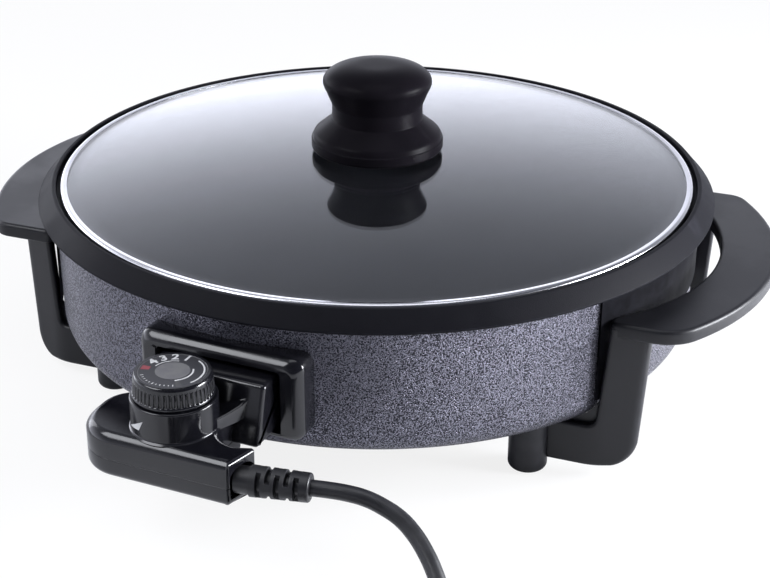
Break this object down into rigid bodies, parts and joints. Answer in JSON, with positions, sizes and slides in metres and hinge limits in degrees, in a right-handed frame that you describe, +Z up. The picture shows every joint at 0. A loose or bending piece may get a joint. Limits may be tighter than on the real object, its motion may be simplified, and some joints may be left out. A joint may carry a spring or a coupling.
{
  "type": "electric pizza pan",
  "caption": "Round electric pizza pan with a hammer-finish shell, grip-and-leg mouldings, a lift-off domed glass lid with a knob, and a plug-in thermostat with a dial and a mains lead.",
  "frame": {"origin": "on the table, in the middle of the appliance's own box, without the lead", "axes": "+Z up, -Y towards the thermostat at the front, +X towards the right-hand grip"},
  "size_m": [0.4548, 0.5659, 0.178],
  "materials": {
    "nonstick": "cast aluminium with a matte black non-stick coating",
    "hammered_paint": "hammer-finish enamel, grey with light veins",
    "element_steel": "dull sheath",
    "nickel": "nickel plate",
    "ceramic": "unglazed",
    "gloss_black": "glossy moulded black",
    "bakelite": "satin bakelite",
    "zinc_steel": "bright zinc plate",
    "lid_glass": "toughened clear glass",
    "band_steel": "polished stainless steel",
    "silicone": "matte",
    "probe_steel": "satin",
    "brass": "plain",
    "cable_rubber": "satin black",
    "dial_print": "printed dark grey plate with white marks"
  },
  "bodies": {
    "pan": {"inner_pan": "nonstick", "outer_shell": "hammered_paint", "heating_element": "element_steel", "terminal_pins": "nickel", "terminal_insulators": "ceramic", "socket_shroud": "gloss_black", "shroud_screws": "zinc_steel", "handle_right": "bakelite", "handle_left": "bakelite", "foot_screws": "zinc_steel"},
    "lid": {"lid_glass": "lid_glass", "lid_band": "band_steel", "lid_knob": "bakelite", "knob_gasket": "silicone", "knob_washer": "zinc_steel", "knob_screw": "zinc_steel"},
    "thermostat": {"upper_housing": "gloss_black", "lower_housing": "gloss_black", "housing_screws": "zinc_steel", "probe_tube": "probe_steel", "probe_bracket": "zinc_steel", "contact_sleeves": "brass", "switch_block": "ceramic", "switch_blades": "brass", "cord_clamp": "zinc_steel", "strain_relief": "cable_rubber", "power_cord": "cable_rubber", "cord_coil": "cable_rubber", "coil_tie": "cable_rubber", "plug_body": "cable_rubber", "plug_pins": "nickel", "plug_earth_clips": "nickel"},
    "dial": {"dial_knob": "gloss_black", "dial_plate": "dial_print", "dial_spindle": "zinc_steel"}
  },
  "joints": [
    {"name": "lid_lift", "type": "slide", "parent": "pan", "child": "lid", "axis": [0, 0, 1], "range_m": [0, 0.12]},
    {"name": "thermostat_pull", "type": "slide", "parent": "pan", "child": "thermostat", "axis": [0, -1, 0], "range_m": [0, 0.085]},
    {"name": "dial_turn", "type": "hinge", "parent": "thermostat", "child": "dial", "pos_m": [-0.0047, -0.19725, 0.088], "axis": [0, 0, -1], "range_deg": [0, 270]}
  ]
}
